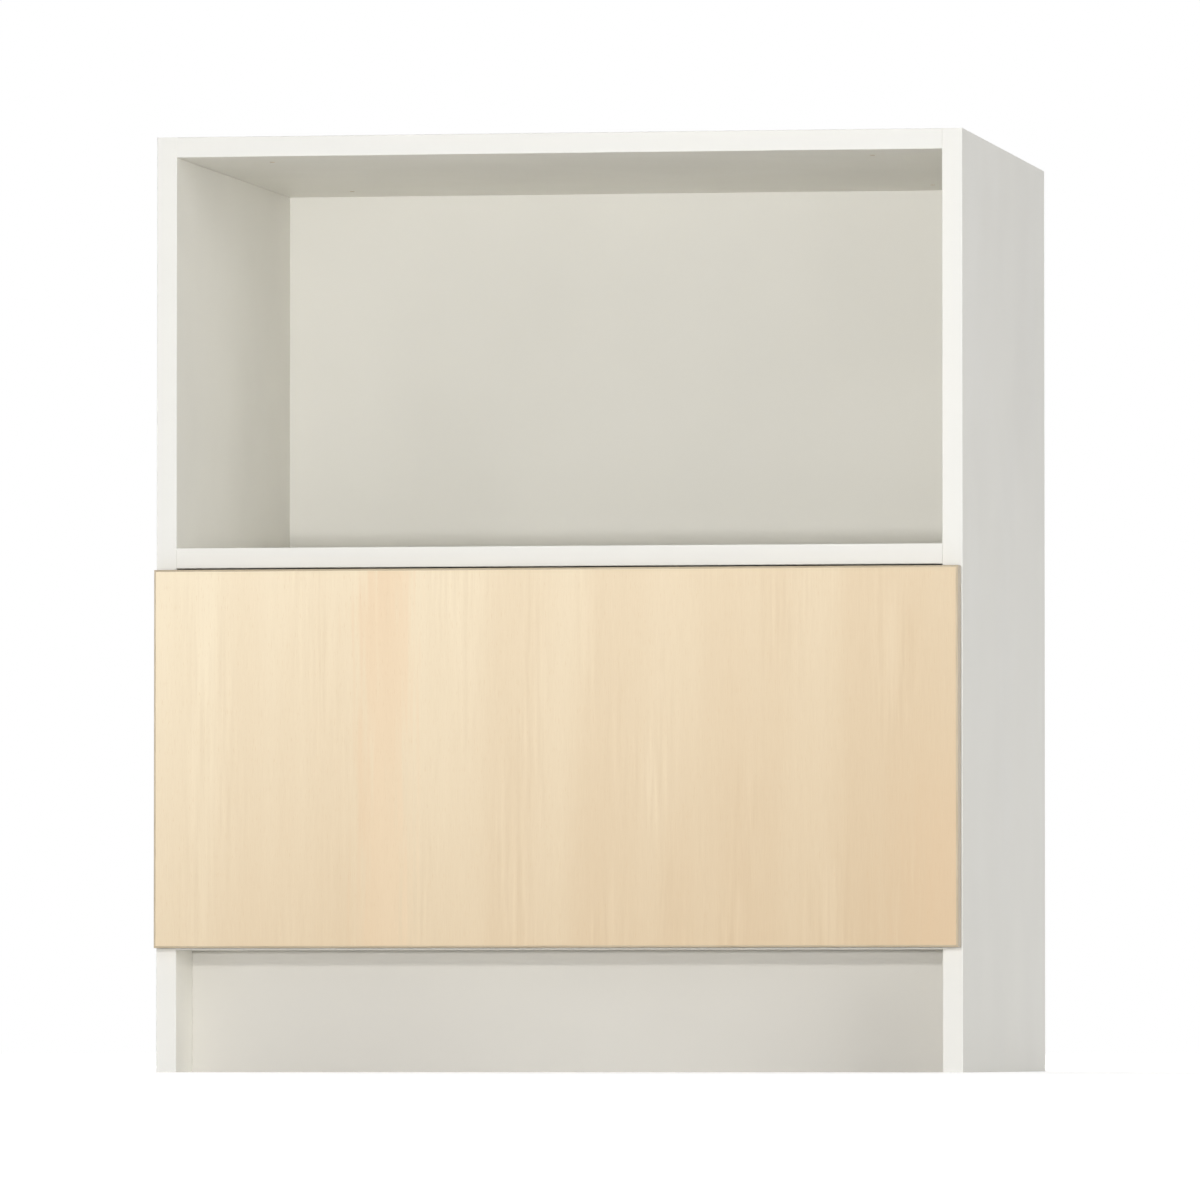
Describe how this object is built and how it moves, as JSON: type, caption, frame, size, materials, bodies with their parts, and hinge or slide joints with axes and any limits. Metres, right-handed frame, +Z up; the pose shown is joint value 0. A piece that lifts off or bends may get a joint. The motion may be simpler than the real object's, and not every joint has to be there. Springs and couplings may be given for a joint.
{
  "type": "microwave base cabinet",
  "caption": "Frameless kitchen base cabinet with an open microwave niche over a full-width deep drawer with a plain birch slab front, and a plinth set back between its side panels.",
  "frame": {"origin": "on the floor, midway across the width and midway between the drawer front's face and the rear edges of the side panels", "axes": "+X to the right seen from the front, +Y from the drawer front to the back, +Z up"},
  "size_m": [0.762, 0.6096, 0.8763],
  "materials": {
    "white_board": "white melamine face on particle board, satin",
    "white_edge_band": "white plastic edging, satin",
    "back_board": "white-faced hardboard, brown at the rear",
    "birch_front": "birch veneer, upright grain, clear satin lacquer",
    "birch_lipping": "birch edging, clear satin lacquer",
    "birch_box": "solid birch, clear satin lacquer",
    "plywood": "birch plywood, clear satin lacquer",
    "zinc_steel": "zinc plated, rolled",
    "cage_steel": "plain rolled strip",
    "ball_steel": "polished",
    "screw_steel": "zinc plated",
    "black_plastic": "moulded, fine grain",
    "block_plastic": "moulded, white",
    "clear_rubber": "soft, translucent"
  },
  "bodies": {
    "cabinet": {"back_panel": "back_board", "bottom_panel": "white_board", "edge_band_bottom": "white_edge_band", "edge_band_left": "white_edge_band", "edge_band_right": "white_edge_band", "edge_band_shelf": "white_edge_band", "edge_band_top": "white_edge_band", "hang_rail_bottom": "white_board", "hang_rail_middle": "white_board", "hang_rail_top": "white_board", "niche_shelf": "white_board", "side_panel_left": "white_board", "side_panel_right": "white_board", "slide_cabinet_member_left": "zinc_steel", "slide_cabinet_member_right": "zinc_steel", "slide_rear_stop_left": "black_plastic", "slide_rear_stop_right": "black_plastic", "slide_side_screws_left": "screw_steel", "slide_side_screws_right": "screw_steel", "toe_block_screws": "screw_steel", "toe_board": "white_board", "toe_corner_blocks": "block_plastic", "top_panel": "white_board"},
    "drawer": {"drawer_back": "birch_box", "drawer_bottom": "plywood", "drawer_bumpers": "clear_rubber", "drawer_front": "birch_front", "drawer_front_edge_bands": "birch_lipping", "drawer_front_screws": "screw_steel", "drawer_inner_front": "birch_box", "drawer_side_left": "birch_box", "drawer_side_right": "birch_box", "release_lever_pin_left": "zinc_steel", "release_lever_pin_right": "zinc_steel", "slide_drawer_member_left": "zinc_steel", "slide_drawer_member_right": "zinc_steel", "slide_drawer_screws_left": "screw_steel", "slide_drawer_screws_right": "screw_steel"},
    "intermediate_left": {"slide_intermediate_member_left": "zinc_steel"},
    "outer_cage_left": {"ball_cage_outer_left": "cage_steel", "balls_outer_left": "ball_steel"},
    "inner_cage_left": {"ball_cage_inner_left": "cage_steel", "balls_inner_left": "ball_steel"},
    "lever_left": {"release_lever_left": "black_plastic"},
    "intermediate_right": {"slide_intermediate_member_right": "zinc_steel"},
    "outer_cage_right": {"ball_cage_outer_right": "cage_steel", "balls_outer_right": "ball_steel"},
    "inner_cage_right": {"ball_cage_inner_right": "cage_steel", "balls_inner_right": "ball_steel"},
    "lever_right": {"release_lever_right": "black_plastic"}
  },
  "joints": [
    {"name": "drawer_slide", "type": "slide", "parent": "cabinet", "child": "drawer", "axis": [0, -1, 0], "range_m": [0, 0.5588]},
    {"name": "intermediate_left_slide", "type": "slide", "parent": "cabinet", "child": "intermediate_left", "axis": [0, -1, 0], "range_m": [0, 0.2794]},
    {"name": "outer_cage_left_slide", "type": "slide", "parent": "cabinet", "child": "outer_cage_left", "axis": [0, -1, 0], "range_m": [0, 0.1397]},
    {"name": "inner_cage_left_slide", "type": "slide", "parent": "cabinet", "child": "inner_cage_left", "axis": [0, -1, 0], "range_m": [0, 0.4191]},
    {"name": "intermediate_right_slide", "type": "slide", "parent": "cabinet", "child": "intermediate_right", "axis": [0, -1, 0], "range_m": [0, 0.2794]},
    {"name": "outer_cage_right_slide", "type": "slide", "parent": "cabinet", "child": "outer_cage_right", "axis": [0, -1, 0], "range_m": [0, 0.1397]},
    {"name": "inner_cage_right_slide", "type": "slide", "parent": "cabinet", "child": "inner_cage_right", "axis": [0, -1, 0], "range_m": [0, 0.4191]},
    {"name": "lever_left_tilt", "type": "hinge", "parent": "drawer", "child": "lever_left", "pos_m": [-0.3521, -0.01785, 0.2356], "axis": [1, 0, 0], "range_deg": [0, 11], "stiffness_Nm_per_rad": 0.02, "springref_deg": -5.16},
    {"name": "lever_right_tilt", "type": "hinge", "parent": "drawer", "child": "lever_right", "pos_m": [0.3521, -0.01785, 0.2216], "axis": [-1, 0, 0], "range_deg": [0, 11], "stiffness_Nm_per_rad": 0.02, "springref_deg": -5.16}
  ],
  "couplings": [
    {"joint": "intermediate_left_slide", "follows": "drawer_slide", "ratio": 0.5},
    {"joint": "outer_cage_left_slide", "follows": "drawer_slide", "ratio": 0.25},
    {"joint": "inner_cage_left_slide", "follows": "drawer_slide", "ratio": 0.75},
    {"joint": "intermediate_right_slide", "follows": "drawer_slide", "ratio": 0.5},
    {"joint": "outer_cage_right_slide", "follows": "drawer_slide", "ratio": 0.25},
    {"joint": "inner_cage_right_slide", "follows": "drawer_slide", "ratio": 0.75}
  ]
}
